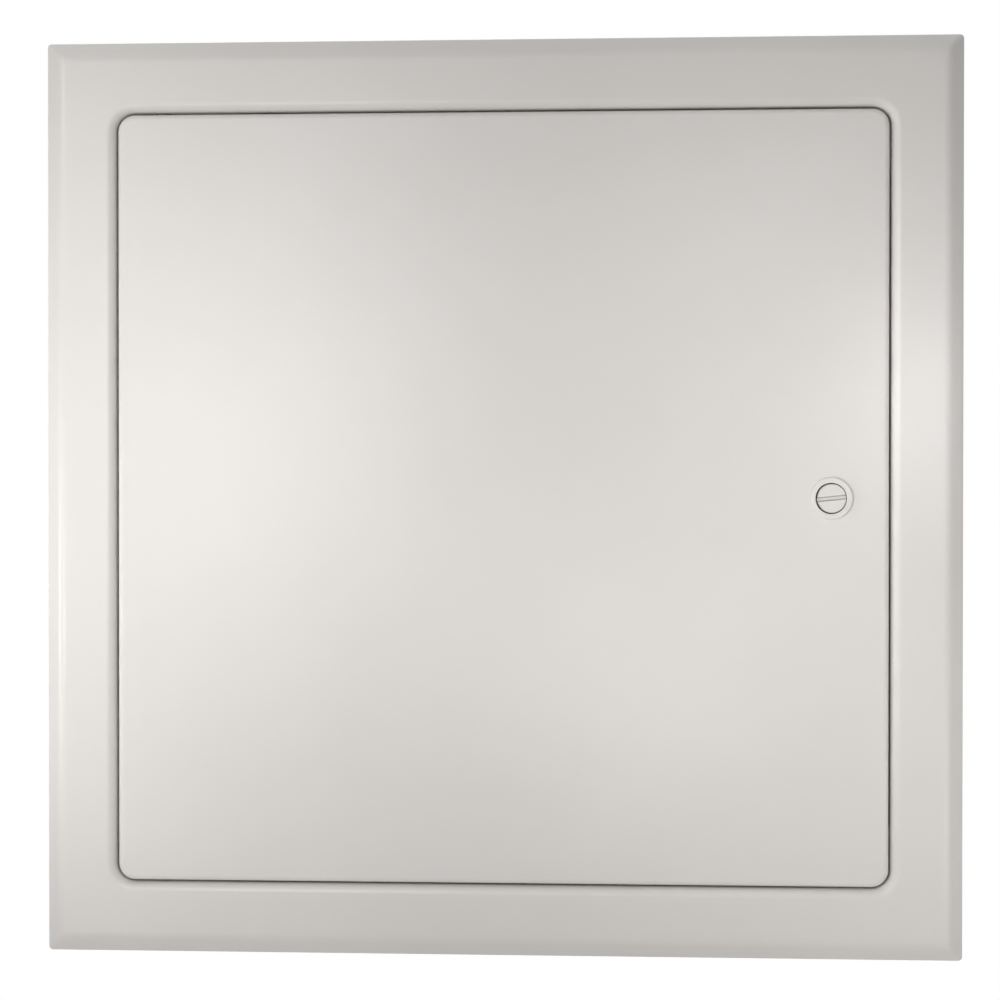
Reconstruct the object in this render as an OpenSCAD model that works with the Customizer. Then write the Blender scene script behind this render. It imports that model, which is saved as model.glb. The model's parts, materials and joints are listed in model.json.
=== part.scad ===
// Flush access panel: a pressed steel trim flange on a mounting neck that goes into a wall or
// ceiling, a pan-shaped door on a concealed hinge rod, and a screwdriver-operated cam latch.
// Modules draw the panel lying flat with its face along +z and the wall plane at z = 0.
// upright() then stands it up: the face looks along -y, the wall plane is y = 0 and z is up.

/* [Opening] */
// Clear width inside the flange's lip
opening_w = 300; // [240:1:600]
// Clear height inside the flange's lip
opening_h = 300; // [240:1:600]
// Corner radius of the clear opening
opening_r = 7.5; // [6:0.1:14]

/* [Frame sheet] */
// Thickness of the sheet steel of the flange, rails and stops
sheet_t = 1.5; // [1:0.1:1.8]
// Inside radius of the bends in the rails and stops
bend_r = 1.5; // [1:0.1:2.5]

/* [Flange] */
// Width of the flange, from the clear opening to its outer edge
flange_w = 27.8; // [25:0.1:40]
// Height of the flange's face above the wall
flange_h = 6.4; // [6.2:0.1:8]
// Outside radius of the bend from the flange's face to its sloped outer edge
edge_roll_r = 6; // [3:0.1:6.1]
// Width of the straight part of the sloped outer edge
slope_w = 4; // [2:0.1:4.6]
// Inside radius of the fold from the sloped edge to the rim that stands on the wall
rim_fold_r = 0.4; // [0.2:0.1:0.6]
// Outside radius of the lip where the flange turns into the opening
lip_roll_r = 3.5; // [2.5:0.1:4]
// Radius of the flange's outer corners
outer_corner_r = 1.6; // [0.5:0.1:4]
// Gap between the lip's rear edge and the door stops
lip_stop_gap = 2.5; // [1:0.1:4]

/* [Mounting neck] */
// Depth of the neck behind the wall plane
neck_depth = 32; // [30:0.5:60]
// Width of the rails' front foot, which is welded to the back of the flange
foot_w = 13; // [8:0.5:15]
// Width of the rails' rear return, turned in towards the opening
return_w = 6; // [4.5:0.5:9]
// Cut-back of the feet from the neck's corners
foot_relief = 5; // [3:0.5:15]
// Radius of the fixing screw holes in the rails
screw_hole_r = 2.75; // [2:0.05:3.2]
// Distance of the fixing screw holes from the ends of the clear opening
screw_inset = 50; // [40:0.5:100]
// Distance of the fixing screw holes from the neck's rear face
screw_rear = 7; // [6.5:0.5:10]

/* [Door] */
// Gap between the door and the lip, all round
door_gap = 0.9; // [0.8:0.05:2]
// Depth of the door's face below the flange's face
door_recess = 0.3; // [0:0.1:1]
// Thickness of the door's sheet steel
door_t = 1.5; // [1:0.1:2]
// Depth of the door pan
door_depth = 16; // [14:0.5:20]
// Outside radius of the door's edges
door_edge_r = 2.2; // [2.1:0.1:3]
// Width of the lips folded in along the back of the door pan
door_lip_w = 8; // [5:0.5:10]
// Distance from the end of a door lip to the end of its side
door_lip_relief = 4; // [2:0.5:20]
// Gap between the closed door and its stops
stop_gap = 0.3; // [0.1:0.1:1]

/* [Hinge] */
// Radius of the hinge rod
rod_r = 2.4; // [2:0.05:2.5]
// Distance of the rod's axis from the door's hinge edge
rod_inset = 17; // [13:0.5:20]
// Distance of the rod's axis behind the door's face
rod_drop = 6.2; // [5.5:0.1:6.5]
// Radial clearance of the rod in the frame
rod_frame_fit = 0.02; // [0.01:0.01:0.1]
// Radial clearance of the rod in the door
rod_door_fit = 0.06; // [0.01:0.01:0.1]
// Thickness of the nylon washers between the door and the lip
hinge_washer_t = 0.7; // [0.4:0.1:0.8]
// Outside radius of the nylon washers
hinge_washer_r = 3.2; // [3:0.1:4.5]
// Outside radius of the clips on the rod
clip_r = 4.4; // [4:0.1:5.5]
// Thickness of the clips on the rod
clip_t = 0.7; // [0.5:0.1:1]
// Depth of the clips' grooves in the rod
clip_groove = 0.5; // [0.3:0.05:0.7]
// Gap between the clips and the door's side walls
clip_gap = 0.5; // [0.2:0.1:0.8]
// Radius of the two notches inside each clip
clip_notch_r = 0.9; // [0.6:0.1:1]

/* [Door stops] */
// Reach of the stops and the strike into the opening, from the rails
stop_w = 11.5; // [9.5:0.5:13]
// Depth of the leg that is welded to the rails
stop_leg = 9; // [5:0.5:9]
// Distance from the rod to the near end of the top and bottom stops
stop_start = 26; // [22:1:60]
// Cut-back of the stops and the strike from the corners of the opening
stop_relief = 22; // [18:1:40]

/* [Latch] */
// Distance of the latch's axis from the door's free edge
latch_inset = 22; // [21:0.1:40]
// Turn of the latch from its open stop, as it rests
latch_rest_turn = 6; // [0:1:84]
// Radius of the slotted head
head_r = 6; // [5:0.1:6.2]
// Depth of the head below the top of its collar
head_recess = 0.5; // [0.2:0.1:0.8]
// Gap around the slotted head
head_gap = 0.25; // [0.1:0.05:0.4]
// Width of the screwdriver slot
slot_w = 1.6; // [1:0.1:2.5]
// Depth of the screwdriver slot
slot_depth = 1.3; // [0.8:0.1:1.6]
// Radius of the collar around the head
collar_r = 8.2; // [8:0.1:9]
// Height of the collar above the door's face
collar_h = 1.4; // [1:0.1:2]
// Radius of the collar's rounded edges
collar_edge_r = 0.85; // [0.3:0.05:0.95]
// Radius of the barrel that passes through the door
barrel_r = 7.25; // [7:0.05:7.5]
// Clearance of the barrel in the door and in its nut
barrel_fit = 0.2; // [0.05:0.05:0.3]
// Radius of the turning shaft
shaft_r = 3.5; // [3.2:0.1:4]
// Radial clearance of the shaft in its barrel
shaft_fit = 0.06; // [0.01:0.01:0.1]
// Width across the flats of the barrel nut
nut_flats = 19; // [18:0.5:22]
// Thickness of the barrel nut
nut_t = 4; // [3:0.1:5]
// Thickness of the toothed washer under the barrel nut
tooth_washer_t = 0.8; // [0.5:0.1:1.2]
// Radius of the toothed washer
tooth_washer_r = 9.2; // [9:0.1:10]
// Radius of the notches between the washer's teeth
tooth_notch_r = 0.6; // [0.3:0.1:0.8]
// Radius of the rounded edge of the slotted head
head_edge_r = 0.4; // [0.2:0.05:0.6]

/* [Cam] */
// Thickness of the cam
cam_t = 2; // [1.5:0.1:3]
// Width of the cam's arm
cam_w = 12; // [10:0.5:14]
// Radius of the cam's hub
cam_hub_r = 8; // [7:0.1:9]
// Length of the cam that reaches behind the strike
cam_bite = 6; // [3:0.5:7]
// Gap between the cam and the back of the strike
cam_gap = 0.5; // [0.3:0.1:1]
// Width of the square end that drives the cam
drive_w = 4.8; // [4:0.1:4.8]
// Space for the dished spring washer in front of the cam
spring_space = 1; // [0.8:0.1:1.5]
// Thickness of the spring washer
spring_t = 0.4; // [0.2:0.05:0.5]
// Radius of the spring washer
spring_r = 5.8; // [5:0.1:5.9]
// Thickness of the flat washer behind the cam
cam_washer_t = 0.8; // [0.5:0.1:1.5]
// Radius of the flat washer behind the cam
cam_washer_r = 6; // [4:0.1:8]
// Radius of the screw that holds the cam
cam_screw_r = 1.5; // [1.2:0.1:1.6]
// Length of the cam screw in the rotor
cam_screw_depth = 6; // [4:0.5:9]
// Radius of the cam screw's head
cam_screw_head_r = 3; // [2.6:0.1:4]
// Height of the cam screw's head
cam_screw_head_h = 2.2; // [1.8:0.1:3]
// Radius of the rounded edge of the cam screw's head
cam_screw_edge_r = 0.5; // [0.2:0.1:0.8]
// Width of the arms of the cam screw's cross recess
recess_w = 0.9; // [0.6:0.1:1.2]
// Length of the arms of the cam screw's cross recess
recess_l = 3.6; // [2.4:0.1:4.4]
// Depth of the cam screw's cross recess
recess_depth = 1.2; // [0.6:0.1:1.4]

/* [Latch stops] */
// Turn of the latch from its open stop to its closed stop
latch_travel = 90; // [60:1:120]
// Inner radius of the rim on the barrel's end that stops the cam's lug
stop_rim_r = 6; // [5.9:0.05:6.2]
// Angle that the cam's lug takes up
lug_angle = 30; // [20:1:40]
// Angle between the lug and the ends of the rim, at the stops
lug_spare = 1.5; // [0.5:0.1:3]
// Gap around the cam's lug, and between the rim and the cam
lug_gap = 0.15; // [0.1:0.01:0.2]

/* [Hidden] */
$fn = 64;
paint = "#dedbd6";
zinc = "#b9bcc0";
spring_steel = "#6f7175";
nylon = "#6e6d6b";

// Distance that cutting shapes run past the faces that they cut
past = 1;
// Clearance between pieces that are slipped over each other
slip = 0.1;

// Frame
overall_w = opening_w + 2 * flange_w;
overall_h = opening_h + 2 * flange_w;
web_in_w = opening_w + 2 * sheet_t;
web_in_h = opening_h + 2 * sheet_t;
bend_out = bend_r + sheet_t;
flange_back = flange_h - sheet_t;

// Sloped outer edge of the flange: three down for every four out, square to the direction slope_normal
slope_normal = [0.6, 0.8];
slope_h = slope_w * slope_normal[0] / slope_normal[1];
slope_top = [edge_roll_r * slope_normal[0], flange_h - edge_roll_r * (1 - slope_normal[1])];
slope_foot = slope_top + [slope_w, -slope_h];
rim_fold_out = rim_fold_r + sheet_t;
rim_fold_middle = slope_foot - rim_fold_out * slope_normal;
edge_w = rim_fold_middle[0] + rim_fold_out;

// Door
door_w = opening_w - 2 * door_gap;
door_h = opening_h - 2 * door_gap;
door_r = opening_r - door_gap;
door_z = flange_h - door_recess;
door_rear = door_z - door_depth;

// Stops
stop_z = door_rear - stop_gap;
lip_rear = stop_z + lip_stop_gap;

// Hinge rod
rod_x = rod_inset - door_w / 2;
rod_z = door_z - rod_drop;
clip_groove_r = rod_r - clip_groove;
clip_y = door_h / 2 - door_t - clip_t - clip_gap;

// Latch
latch_x = door_w / 2 - latch_inset;
head_top = door_z + collar_h - head_recess;
head_floor = door_z - door_t;
cam_front = stop_z - sheet_t - cam_gap;
cam_rear = cam_front - cam_t;
barrel_rear = cam_front + spring_space;
rim_rear = cam_front + lug_gap;
cam_reach = web_in_w / 2 - stop_w + cam_bite - latch_x;
// The lug sits opposite the cam's arm, which hangs straight down at the open stop
lug_middle = 90 + latch_travel / 2;

// Placing

// Stands the flat drawing up
module upright() {
    rotate([90, 0, 0])
        children();
}

// Puts children on the latch's axis, turned to the latch's rest position
module at_latch() {
    translate([latch_x, 0, 0])
        rotate(latch_rest_turn)
            children();
}

// Flat shapes

// Quarter of a disc, in the first quadrant
module quarter(r) {
    intersection() {
        circle(r);
        square(r);
    }
}

// Quarter of a ring, in the first quadrant: a bend in sheet of thickness t
module bend(r_out, t) {
    difference() {
        quarter(r_out);
        circle(r_out - t);
    }
}

// Rectangle with round corners
module rounded_rect(w, h, r) {
    square([w - 2 * r, h], center = true);
    square([w, h - 2 * r], center = true);
    for (x = [0, 1], y = [0, 1])
        mirror([x, 0]) mirror([0, y])
            translate([w / 2 - r, h / 2 - r])
                quarter(r);
}

// Sweeps

// Carries a section along one side of a rectangle: section x points out of the rectangle, section y up
module along_side(reach, run) {
    translate([reach, 0, 0])
        rotate([90, 0, 0])
            linear_extrude(run, center = true)
                children();
}

// Carries a section round the four straight sides of a rounded rectangle, from the corners' centre lines
module round_sides(w, h, r, cut = 0) {
    for (side = [0 : 3]) {
        across = side % 2 == 0 ? w : h;
        along = side % 2 == 0 ? h : w;
        rotate(90 * side)
            along_side(across / 2 - r, along - 2 * r - 2 * cut)
                children();
    }
}

// Turns a section round the four corners of a rounded rectangle
module round_corners(w, h, r) {
    for (side = [0 : 3]) {
        across = side % 2 == 0 ? w : h;
        along = side % 2 == 0 ? h : w;
        rotate(90 * side)
            translate([across / 2 - r, along / 2 - r, 0])
                rotate_extrude(angle = 90)
                    children();
    }
}

// Flange

// Section of the lip, from the axis of the opening's corners: the flange turns down into the opening
module lip_section() {
    translate([opening_r + lip_roll_r, flange_h - lip_roll_r])
        mirror([1, 0])
            bend(lip_roll_r, sheet_t);
    translate([opening_r, lip_rear])
        square([sheet_t, flange_h - lip_roll_r - lip_rear]);
}

// Part of a bend, between two directions from its middle
module part_bend(r_out, t, from, to) {
    intersection() {
        bend(r_out, t);
        polygon([[0, 0], 2 * r_out * from, 2 * r_out * to]);
    }
}

// Section of the outer edge, from the end of the flat face: a bend, a slope, a fold and a low rim
module edge_section() {
    translate([0, flange_h - edge_roll_r])
        part_bend(edge_roll_r, sheet_t, [0, 1], slope_normal);
    polygon([
        slope_top, slope_foot,
        slope_foot - sheet_t * slope_normal, slope_top - sheet_t * slope_normal,
    ]);
    translate(rim_fold_middle)
        part_bend(rim_fold_out, sheet_t, slope_normal, [1, 0]);
    translate([edge_w - sheet_t, 0])
        square([sheet_t, rim_fold_middle[1]]);
}

// Sloped outer edge, mitred at the corners
module sloped_edge() {
    for (side = [0 : 3]) {
        across = (side % 2 == 0 ? overall_w : overall_h) / 2;
        along = (side % 2 == 0 ? overall_h : overall_w) / 2;
        inner = edge_w + past;
        rotate(90 * side)
            intersection() {
                along_side(across - edge_w, 2 * along + 2 * past)
                    edge_section();
                translate([0, 0, -past])
                    linear_extrude(flange_h + 2 * past)
                        polygon([
                            [across - inner, along - inner], [across + past, along + past],
                            [across + past, -along - past], [across - inner, inner - along],
                        ]);
            }
    }
}

// Bores for the hinge rod through both ends of whatever it is cut from
module rod_bores(fit) {
    translate([rod_x, 0, rod_z])
        rotate([90, 0, 0])
            cylinder(r = rod_r + fit, h = overall_h, center = true);
}

module flange() {
    color(paint) upright()
        difference() {
            intersection() {
                union() {
                    translate([0, 0, flange_back])
                        linear_extrude(sheet_t)
                            difference() {
                                square([overall_w - 2 * edge_w, overall_h - 2 * edge_w], center = true);
                                rounded_rect(
                                    opening_w + 2 * lip_roll_r, opening_h + 2 * lip_roll_r,
                                    opening_r + lip_roll_r
                                );
                            }
                    sloped_edge();
                    round_sides(opening_w, opening_h, opening_r) lip_section();
                    round_corners(opening_w, opening_h, opening_r) lip_section();
                }
                translate([0, 0, -neck_depth])
                    linear_extrude(2 * neck_depth)
                        rounded_rect(overall_w, overall_h, outer_corner_r);
            }
            rod_bores(rod_frame_fit);
        }
}

// Mounting neck

// Front foot and its bend, from the web's inner face, with the start of the web
module foot_section() {
    translate([0, flange_back - 2 * bend_out])
        square([sheet_t, bend_out]);
    translate([bend_out, flange_back - sheet_t])
        square([foot_w - bend_out, sheet_t]);
    translate([bend_out, flange_back - bend_out])
        mirror([1, 0])
            bend(bend_out, sheet_t);
}

// Rear return and its bend, from the web's inner face, with the end of the web
module return_section() {
    translate([0, bend_out - neck_depth])
        square([sheet_t, bend_out]);
    translate([sheet_t - bend_out, bend_out - neck_depth])
        mirror([0, 1])
            bend(bend_out, sheet_t);
    translate([sheet_t - return_w, -neck_depth])
        square([return_w - bend_out, sheet_t]);
}

// One rail of the neck: a foot turned out under the flange, a web, and a return turned in at the rear
module rail(across, clear, run, foot_run, return_run) {
    web_rear = bend_out - neck_depth;
    web_front = flange_back - bend_out;
    screw_along = clear / 2 - screw_inset;
    difference() {
        union() {
            along_side(across / 2, foot_run) foot_section();
            along_side(across / 2, run)
                translate([0, web_rear])
                    square([sheet_t, web_front - web_rear]);
            along_side(across / 2, return_run) return_section();
        }
        for (end = [-1, 1])
            translate([across / 2 - past, end * screw_along, screw_rear - neck_depth])
                rotate([0, 90, 0])
                    cylinder(r = screw_hole_r, h = sheet_t + 2 * past);
    }
}

// Top and bottom rails run past the side rails' ends
module level_rail(turn) {
    color(paint) upright()
        difference() {
            rotate(turn)
                rail(
                    web_in_h, opening_w, web_in_w + 2 * sheet_t,
                    opening_w - 2 * foot_relief, web_in_w
                );
            rod_bores(rod_frame_fit);
        }
}

// Side rails stand between the top and bottom rails
module side_rail(turn) {
    color(paint) upright()
        rotate(turn)
            rail(
                web_in_w, opening_h, web_in_h,
                opening_h - 2 * foot_relief, web_in_h - 2 * return_w
            );
}

module neck_top() level_rail(90);
module neck_bottom() level_rail(-90);
module neck_latch_side() side_rail(0);
module neck_hinge_side() side_rail(180);

// Door stops

// Section of a stop angle, from the rail's inner face: one leg reaches in, one is welded to the rail
module stop_section() {
    translate([-stop_w, stop_z - sheet_t])
        square([stop_w - bend_out, sheet_t]);
    translate([-bend_out, stop_z - bend_out])
        bend(bend_out, sheet_t);
    translate([-sheet_t, stop_z - stop_leg])
        square([sheet_t, stop_leg - bend_out]);
}

// Top and bottom stops run from clear of the hinge to short of the latch corner
module level_stop(turn) {
    start = rod_x + stop_start;
    end = opening_w / 2 - stop_relief;
    color(paint) upright()
        translate([(start + end) / 2, 0, 0])
            rotate(turn)
                along_side(web_in_h / 2, end - start)
                    stop_section();
}

module door_stop_top() level_stop(90);
module door_stop_bottom() level_stop(-90);

// The latch side's stop is the strike that the cam turns behind
module strike_angle() {
    color(paint) upright()
        along_side(web_in_w / 2, opening_h - 2 * stop_relief)
            stop_section();
}

// Hinge

module hinge_rod() {
    rod_end = web_in_h / 2 + sheet_t - slip;
    color(zinc) upright()
        translate([rod_x, 0, rod_z])
            rotate([90, 0, 0])
                difference() {
                    cylinder(r = rod_r, h = 2 * rod_end, center = true);
                    for (end = [0, 1])
                        mirror([0, 0, end])
                            translate([0, 0, clip_y - slip])
                                difference() {
                                    cylinder(r = rod_r + past, h = clip_t + 2 * slip);
                                    translate([0, 0, -past])
                                        cylinder(r = clip_groove_r, h = clip_t + 2 * past);
                                }
                }
}

// Open retaining clip that snaps into a groove of the rod from the side
module rod_clip() {
    mouth = 1.5 * clip_groove_r;
    linear_extrude(clip_t)
        difference() {
            circle(clip_r);
            circle(clip_groove_r + slip / 2);
            translate([0, -mouth / 2])
                square([clip_r + past, mouth]);
            for (side = [-1, 1])
                rotate(side * 100)
                    translate([clip_groove_r + clip_groove, 0])
                        circle(clip_notch_r);
        }
}

module rod_clips() {
    color(spring_steel) upright()
        translate([rod_x, 0, rod_z])
            rotate([90, 0, 0])
                for (end = [0, 1])
                    mirror([0, 0, end])
                        translate([0, 0, clip_y])
                            rod_clip();
}

module hinge_washers() {
    inner_face = door_h / 2 + (door_gap - hinge_washer_t) / 2;
    color(nylon) upright()
        translate([rod_x, 0, rod_z])
            rotate([90, 0, 0])
                for (end = [0, 1])
                    mirror([0, 0, end])
                        translate([0, 0, inner_face])
                            difference() {
                                cylinder(r = hinge_washer_r, h = hinge_washer_t);
                                translate([0, 0, -past])
                                    cylinder(r = rod_r + rod_door_fit, h = hinge_washer_t + 2 * past);
                            }
}

// Door

// Section of the door's front edge and side, from the axis of the door's corners
module door_edge_section() {
    translate([0, door_z - door_t])
        square([door_r - door_edge_r, door_t]);
    translate([door_r - door_edge_r, door_z - door_edge_r])
        bend(door_edge_r, door_t);
    translate([door_r - door_t, door_rear + door_edge_r])
        square([door_t, door_depth - 2 * door_edge_r]);
}

// Plain rear edge of the side, which the corners and the ends of the sides keep
module door_rear_section() {
    translate([door_r - door_t, door_rear])
        square([door_t, door_edge_r]);
}

// Lip folded in along the back of a side
module door_lip_section() {
    translate([door_r - door_edge_r, door_rear + door_edge_r])
        mirror([0, 1])
            bend(door_edge_r, door_t);
    translate([door_r - door_lip_w, door_rear])
        square([door_lip_w - door_edge_r, door_t]);
}

module door_panel() {
    color(paint) upright()
        difference() {
            union() {
                translate([0, 0, door_z - door_t])
                    linear_extrude(door_t)
                        square([door_w - 2 * door_r, door_h - 2 * door_r], center = true);
                round_sides(door_w, door_h, door_r) door_edge_section();
                round_corners(door_w, door_h, door_r) {
                    door_edge_section();
                    door_rear_section();
                }
                round_sides(door_w, door_h, door_r, door_lip_relief) door_lip_section();
            }
            rod_bores(rod_door_fit);
            translate([latch_x, 0, door_z - door_t - past])
                cylinder(r = barrel_r + barrel_fit, h = door_t + 2 * past);
        }
}

// Latch housing

// Section of the latch housing: a rounded collar on the door's face, a barrel through the door, and a
// rim on the barrel's rear end
module housing_section() {
    bore = head_r + head_gap;
    crown_r = min(collar_edge_r, collar_h, (collar_r - bore) / 2);
    difference() {
        union() {
            translate([shaft_r + shaft_fit, barrel_rear])
                square([barrel_r - shaft_r - shaft_fit, door_z - barrel_rear]);
            translate([stop_rim_r, rim_rear])
                square([barrel_r - stop_rim_r, door_z - rim_rear]);
            translate([bore, door_z])
                square([collar_r - bore, collar_h - crown_r]);
            translate([bore + crown_r, door_z + collar_h - crown_r])
                square([collar_r - bore - 2 * crown_r, crown_r]);
            translate([collar_r - crown_r, door_z + collar_h - crown_r])
                quarter(crown_r);
            translate([bore + crown_r, door_z + collar_h - crown_r])
                mirror([1, 0])
                    quarter(crown_r);
        }
        translate([0, head_floor])
            square([bore, door_z + collar_h]);
    }
}

// Gap in the rim, over the arc that the cam's lug sweeps
module rim_gap() {
    swept = latch_travel + lug_angle + 2 * lug_spare;
    rotate(lug_middle - swept / 2)
        rotate_extrude(angle = swept)
            translate([stop_rim_r - slip, rim_rear - past])
                square([barrel_r - stop_rim_r + slip + past, barrel_rear - rim_rear + past]);
}

module latch_housing() {
    color(paint) upright()
        translate([latch_x, 0, 0])
            difference() {
                rotate_extrude()
                    housing_section();
                rim_gap();
            }
}

// Ring of small teeth that bite into the door and the nut
module latch_tooth_washer() {
    teeth = 12;
    color(zinc) upright()
        translate([latch_x, 0, door_z - door_t - tooth_washer_t])
            linear_extrude(tooth_washer_t)
                difference() {
                    circle(tooth_washer_r);
                    circle(barrel_r + barrel_fit);
                    for (i = [0 : teeth - 1])
                        rotate(360 / teeth * i)
                            translate([tooth_washer_r, 0])
                                circle(tooth_notch_r);
                }
}

module latch_nut() {
    corner_r = nut_flats / 2 / cos(30);
    color(zinc) upright()
        translate([latch_x, 0, door_z - door_t - tooth_washer_t - nut_t])
            difference() {
                cylinder(r = corner_r, h = nut_t, $fn = 6);
                translate([0, 0, -past])
                    cylinder(r = barrel_r + barrel_fit / 2, h = nut_t + 2 * past);
            }
}

// Latch rotor and cam

// Slotted head, round shaft, square end and tapped hole
module latch_rotor() {
    drive_rear = cam_rear + slip;
    color(paint) upright()
        at_latch()
            difference() {
                union() {
                    rotate_extrude() {
                        translate([0, barrel_rear])
                            square([shaft_r, head_top - head_edge_r - barrel_rear]);
                        translate([0, head_floor + slip])
                            square([head_r, head_top - head_edge_r - head_floor - slip]);
                        translate([0, head_top - head_edge_r])
                            square([head_r - head_edge_r, head_edge_r]);
                        translate([head_r - head_edge_r, head_top - head_edge_r])
                            quarter(head_edge_r);
                    }
                    translate([-drive_w / 2, -drive_w / 2, drive_rear])
                        cube([drive_w, drive_w, barrel_rear - drive_rear]);
                }
                translate([-head_r - past, -slot_w / 2, head_top - slot_depth])
                    cube([2 * (head_r + past), slot_w, slot_depth + past]);
                translate([0, 0, drive_rear - past])
                    cylinder(r = cam_screw_r + slip / 2, h = cam_screw_depth + past);
            }
}

// Dished washer that presses the cam back and holds the rotor by friction
module latch_spring_washer() {
    inner = drive_w / sqrt(2) + slip;
    color(spring_steel) upright()
        at_latch()
            rotate_extrude()
                polygon([
                    [inner, cam_front + slip], [spring_r, barrel_rear - slip - spring_t],
                    [spring_r, barrel_rear - slip], [inner, cam_front + slip + spring_t],
                ]);
}

// Flat cam: its arm is square to the screwdriver slot, so it hangs down while the slot lies level
module latch_cam() {
    color(zinc) upright()
        at_latch()
            union() {
                translate([0, 0, cam_rear])
                    linear_extrude(cam_t)
                        difference() {
                            union() {
                                circle(cam_hub_r);
                                translate([-cam_w / 2, cam_w / 2 - cam_reach])
                                    square([cam_w, cam_reach - cam_w / 2]);
                                translate([0, cam_w / 2 - cam_reach])
                                    circle(cam_w / 2);
                            }
                            square(drive_w + slip, center = true);
                        }
                cam_lug();
            }
}

// Lug pressed out of the cam's front, which runs in the gap of the barrel's rim
module cam_lug() {
    rotate(90 - lug_angle / 2)
        rotate_extrude(angle = lug_angle)
            translate([stop_rim_r + lug_gap, cam_rear])
                square([barrel_r - stop_rim_r - 2 * lug_gap, cam_t + spring_space - lug_gap]);
}

module cam_washer() {
    color(zinc) upright()
        at_latch()
            translate([0, 0, cam_rear - cam_washer_t])
                linear_extrude(cam_washer_t)
                    difference() {
                        circle(cam_washer_r);
                        circle(cam_screw_r + slip);
                    }
}

// Pan-head screw with a cross recess, driven from behind the door
module cam_screw() {
    seat = cam_rear - cam_washer_t;
    tip = cam_rear + cam_screw_depth - 2 * slip;
    color(zinc) upright()
        at_latch()
            difference() {
                rotate_extrude() {
                    translate([0, seat])
                        square([cam_screw_r, tip - seat]);
                    translate([0, seat - cam_screw_head_h + cam_screw_edge_r])
                        square([cam_screw_head_r, cam_screw_head_h - cam_screw_edge_r]);
                    translate([0, seat - cam_screw_head_h])
                        square([cam_screw_head_r - cam_screw_edge_r, cam_screw_edge_r]);
                    translate([cam_screw_head_r - cam_screw_edge_r, seat - cam_screw_head_h + cam_screw_edge_r])
                        mirror([0, 1])
                            quarter(cam_screw_edge_r);
                }
                for (turn = [0, 90])
                    rotate(turn)
                        translate([-recess_l / 2, -recess_w / 2, seat - cam_screw_head_h - past])
                            cube([recess_l, recess_w, recess_depth + past]);
            }
}

flange();
neck_top();
neck_bottom();
neck_hinge_side();
neck_latch_side();
door_stop_top();
door_stop_bottom();
strike_angle();
hinge_rod();
rod_clips();
hinge_washers();
door_panel();
latch_housing();
latch_tooth_washer();
latch_nut();
latch_rotor();
latch_spring_washer();
latch_cam();
cam_washer();
cam_screw();
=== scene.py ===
import json
import math

import bmesh
import bpy
import numpy as np
from mathutils import Matrix, Vector

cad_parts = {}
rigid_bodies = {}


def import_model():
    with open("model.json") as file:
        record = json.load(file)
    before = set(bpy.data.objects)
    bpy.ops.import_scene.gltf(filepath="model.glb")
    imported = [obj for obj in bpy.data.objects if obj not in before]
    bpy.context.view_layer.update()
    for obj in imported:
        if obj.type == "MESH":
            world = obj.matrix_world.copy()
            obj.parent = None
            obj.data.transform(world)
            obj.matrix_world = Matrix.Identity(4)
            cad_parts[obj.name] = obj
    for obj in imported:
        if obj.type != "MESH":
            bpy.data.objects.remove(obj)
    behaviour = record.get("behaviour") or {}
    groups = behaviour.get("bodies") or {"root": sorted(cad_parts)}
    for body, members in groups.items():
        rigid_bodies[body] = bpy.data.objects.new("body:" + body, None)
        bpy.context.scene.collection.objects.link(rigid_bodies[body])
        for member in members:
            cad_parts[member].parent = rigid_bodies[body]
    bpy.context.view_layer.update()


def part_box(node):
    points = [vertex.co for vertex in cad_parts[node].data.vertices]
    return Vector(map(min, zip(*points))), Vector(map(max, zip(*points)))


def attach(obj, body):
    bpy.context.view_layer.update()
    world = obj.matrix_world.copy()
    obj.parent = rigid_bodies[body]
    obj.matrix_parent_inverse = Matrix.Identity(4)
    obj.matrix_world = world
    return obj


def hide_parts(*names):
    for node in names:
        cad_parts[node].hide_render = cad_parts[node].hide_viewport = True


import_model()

# Flange: one sheet of 1.5 mm steel, pressed so that its outer edge slopes back to the wall and its
# inner edge is drawn down into the opening as a lip. It is powder coated warm white after welding.
MM = 0.001
sheet_t = 1.5 * MM
door_gap = 0.9 * MM
opening_r = 7.5 * MM
lip_roll_r = 3.5 * MM
edge_roll_r = 6 * MM
slope_w = 4 * MM
rim_fold_r = 0.4 * MM
outer_corner_r = 1.6 * MM
raw_edge = 0.15 * MM
bend_flat = 0.25 * MM
scene_objects = bpy.context.scene.collection.objects
flange_low, flange_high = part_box("flange")
door_low, door_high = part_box("door_panel")
opening_half = door_high.x + door_gap
flange_w = flange_high.x - opening_half
flange_face = -flange_low.y
flange_back = flange_face - sheet_t
lip_rear = -flange_high.y


def bend(centre_out, centre_height, r, start, end, steps=13):
    """Bend of a sheet: its centre plus r times the cosine and the sine of angles from start to end."""
    turn = np.radians(np.linspace(start, end, steps))
    return np.stack([centre_out + r * np.cos(turn), centre_height + r * np.sin(turn)], axis=1)


def section(*stretches):
    """Bends and single (out, height) points, one after another, as one row of pairs."""
    return np.concatenate([np.reshape(np.asarray(stretch, float), (-1, 2)) for stretch in stretches])


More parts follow.
